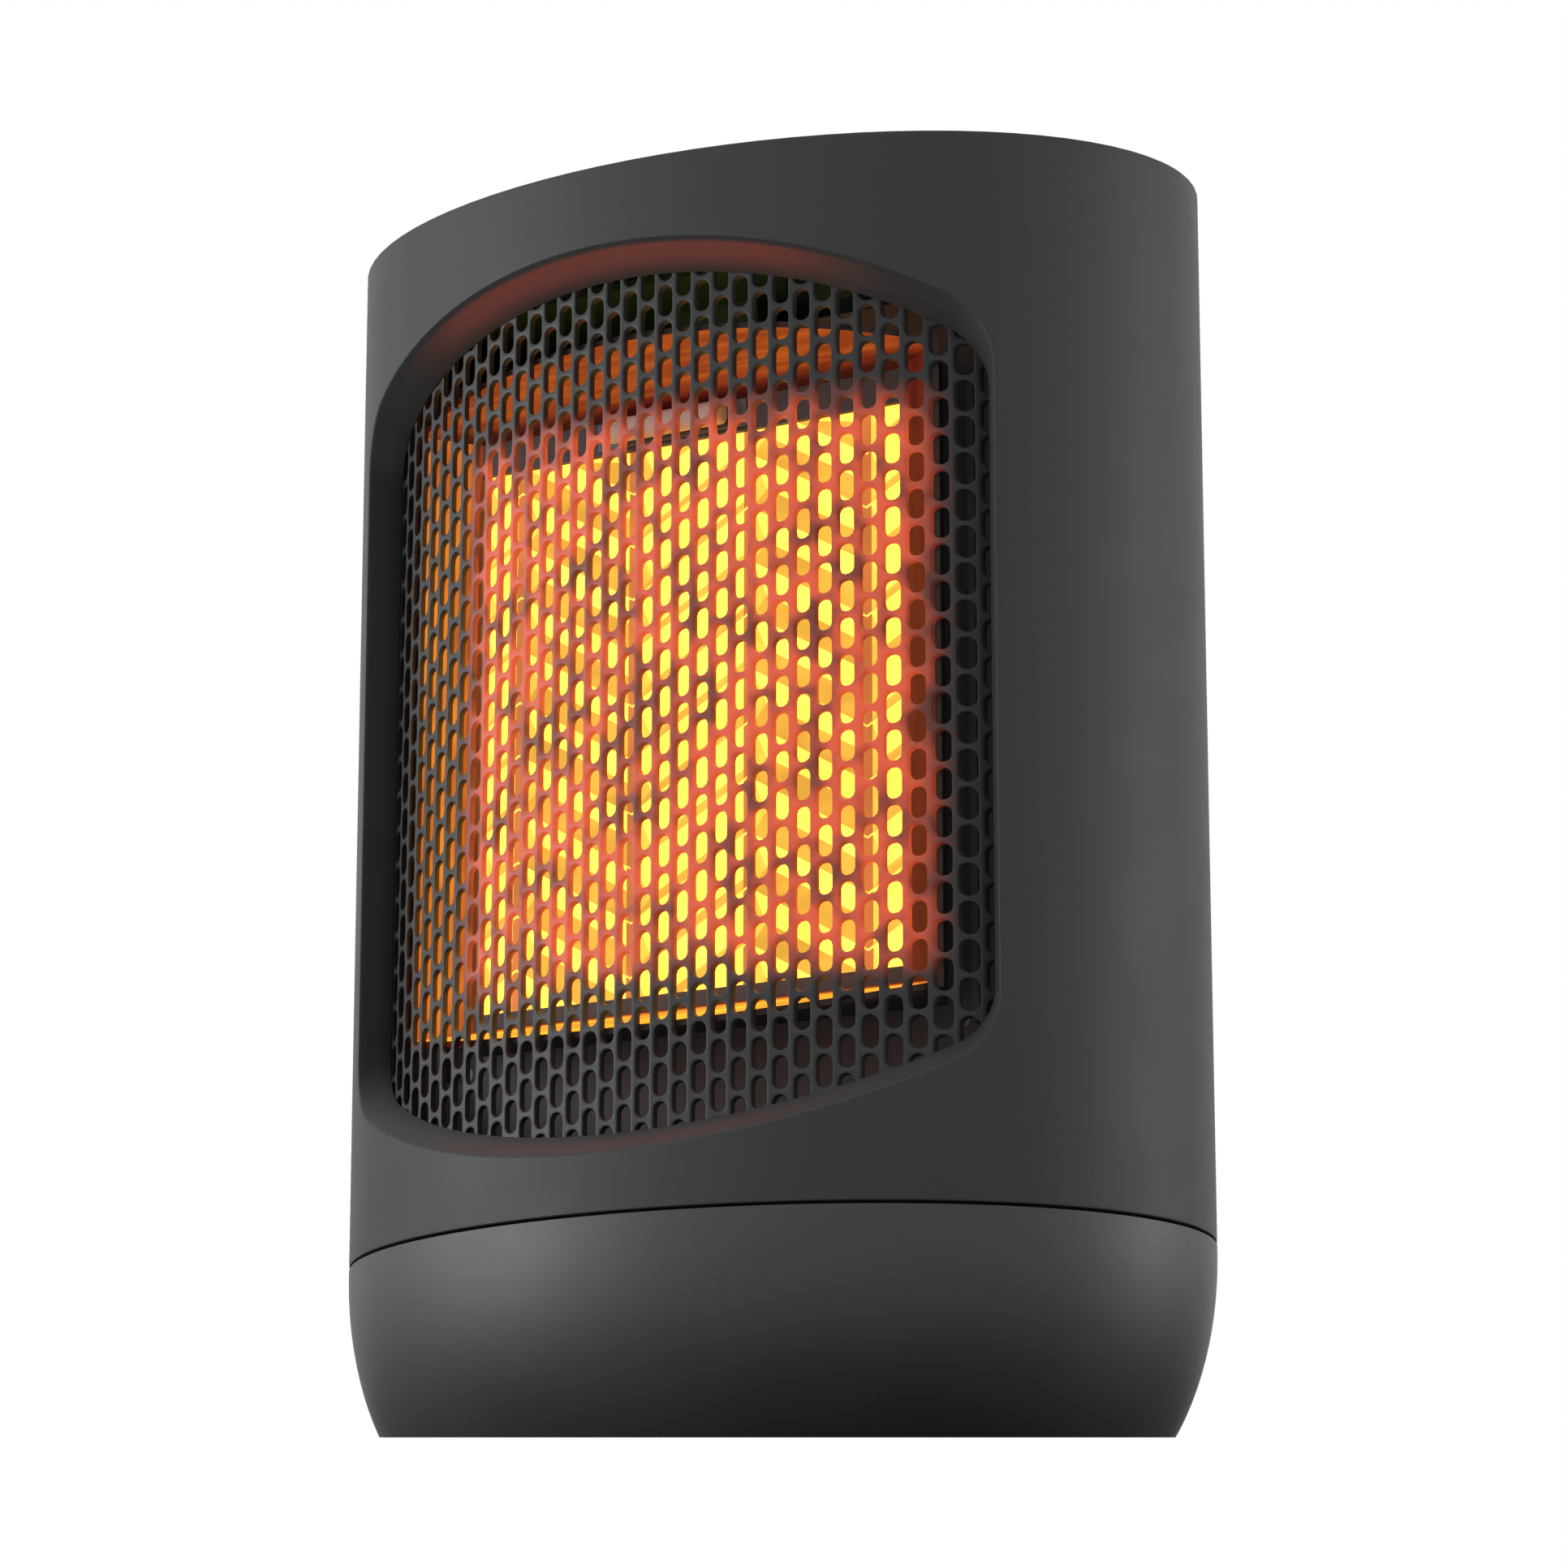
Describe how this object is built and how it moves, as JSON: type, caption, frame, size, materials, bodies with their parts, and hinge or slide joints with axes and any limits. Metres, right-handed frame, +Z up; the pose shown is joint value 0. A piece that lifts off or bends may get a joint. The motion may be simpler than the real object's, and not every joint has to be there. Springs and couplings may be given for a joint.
{
  "type": "fan heater",
  "caption": "Compact desktop fan heater: an oval head with a slotted front grille and a glowing ceramic element, swinging on a rounded oval base.",
  "frame": {"origin": "centre of the base on the surface that the rubber feet stand on, on the axis that the head swings about", "axes": "+Z up along the swing axis, -Y out of the front grille with the head at rest, +X to the right as seen from the front"},
  "size_m": [0.1794, 0.1374, 0.2658],
  "materials": {
    "body_charcoal": "fine matt texture, moulded",
    "base_charcoal": "fine matt texture, moulded",
    "grille_charcoal": "satin moulded",
    "panel_black": "satin moulded",
    "button_grey": "satin moulded",
    "inner_black": "plain moulded",
    "fan_grey": "plain moulded",
    "gear_white": "acetal, smooth",
    "board_green": "solder mask",
    "filter_mesh": "woven mesh in a frame",
    "lens_smoke": "polished, smoked",
    "feet_rubber": "matt",
    "steel": "zinc plated",
    "reflector_sheet": "bright rolled sheet",
    "fin_aluminium": "bare extruded",
    "ceramic": "fired ceramic",
    "motor_metal": "grey zinc",
    "brass_terminal": "plain"
  },
  "bodies": {
    "base": {"base_shell": "base_charcoal", "rubber_feet": "feet_rubber", "hatch": "base_charcoal", "hatch_screws": "steel", "tilt_switch": "inner_black", "tilt_switch_screws": "steel", "base_deck": "base_charcoal", "deck_screws": "steel", "spindle_bush": "gear_white", "glide_ring": "gear_white", "swing_motor": "motor_metal", "swing_motor_screws": "steel", "terminal_block": "inner_black", "cable_gland": "inner_black", "gland_nut": "inner_black"},
    "head": {"head_shell": "body_charcoal", "head_floor": "body_charcoal", "floor_screws": "steel", "swing_spindle": "inner_black", "spindle_screws": "steel", "swing_gear": "gear_white", "spindle_clip": "steel", "front_grille": "grille_charcoal", "grille_screws": "steel", "reflector": "reflector_sheet", "element_frame": "inner_black", "heater_fins": "fin_aluminium", "ptc_bars": "ceramic", "terminal_tabs": "brass_terminal", "fuse_bracket": "steel", "thermal_fuse": "ceramic", "inner_baffle": "inner_black", "frame_screws": "steel", "chassis_screws": "steel", "fan_shroud": "inner_black", "shroud_screws": "steel", "fan_motor": "motor_metal", "motor_screws": "steel", "rear_grille": "grille_charcoal", "dust_filter": "filter_mesh", "control_panel": "panel_black", "display_lens": "lens_smoke", "panel_screws": "steel", "control_board": "board_green", "board_screws": "steel", "key_switches": "inner_black"},
    "swing_pinion": {"swing_pinion": "gear_white", "swing_motor_shaft": "steel"},
    "fan": {"fan_impeller": "fan_grey", "fan_shaft": "steel", "fan_nut": "steel"},
    "tilt_plunger": {"tilt_plunger": "gear_white"},
    "button_power": {"button_power": "button_grey"},
    "button_mode": {"button_mode": "button_grey"},
    "button_swing": {"button_swing": "button_grey"},
    "button_warmer": {"button_warmer": "button_grey"},
    "button_cooler": {"button_cooler": "button_grey"}
  },
  "joints": [
    {"name": "head_swing", "type": "hinge", "parent": "base", "child": "head", "pos_m": [0, 0, 0.0498], "axis": [0, 0, 1], "range_deg": [-40, 40]},
    {"name": "pinion_spin", "type": "hinge", "parent": "base", "child": "swing_pinion", "pos_m": [-0.045, 0, 0.0335], "axis": [0, 0, 1], "range_deg": [-161, 161]},
    {"name": "fan_spin", "type": "hinge", "parent": "head", "child": "fan", "pos_m": [0, 0.003, 0.15295], "axis": [0, 1, 0], "continuous": true},
    {"name": "plunger_slide", "type": "slide", "parent": "base", "child": "tilt_plunger", "axis": [0, 0, 1], "range_m": [-0.004, 0]},
    {"name": "power_press", "type": "slide", "parent": "head", "child": "button_power", "axis": [0, 0.0837, -0.9965], "range_m": [0, 0.0008], "stiffness_N_per_m": 400, "springref_m": -0.001},
    {"name": "mode_press", "type": "slide", "parent": "head", "child": "button_mode", "axis": [0, 0.0837, -0.9965], "range_m": [0, 0.0008], "stiffness_N_per_m": 400, "springref_m": -0.001},
    {"name": "swing_press", "type": "slide", "parent": "head", "child": "button_swing", "axis": [0, 0.0837, -0.9965], "range_m": [0, 0.0008], "stiffness_N_per_m": 400, "springref_m": -0.001},
    {"name": "warmer_press", "type": "slide", "parent": "head", "child": "button_warmer", "axis": [0, 0.0837, -0.9965], "range_m": [0, 0.0008], "stiffness_N_per_m": 400, "springref_m": -0.001},
    {"name": "cooler_press", "type": "slide", "parent": "head", "child": "button_cooler", "axis": [0, 0.0837, -0.9965], "range_m": [0, 0.0008], "stiffness_N_per_m": 400, "springref_m": -0.001}
  ],
  "couplings": [
    {"joint": "pinion_spin", "follows": "head_swing", "ratio": -4}
  ]
}
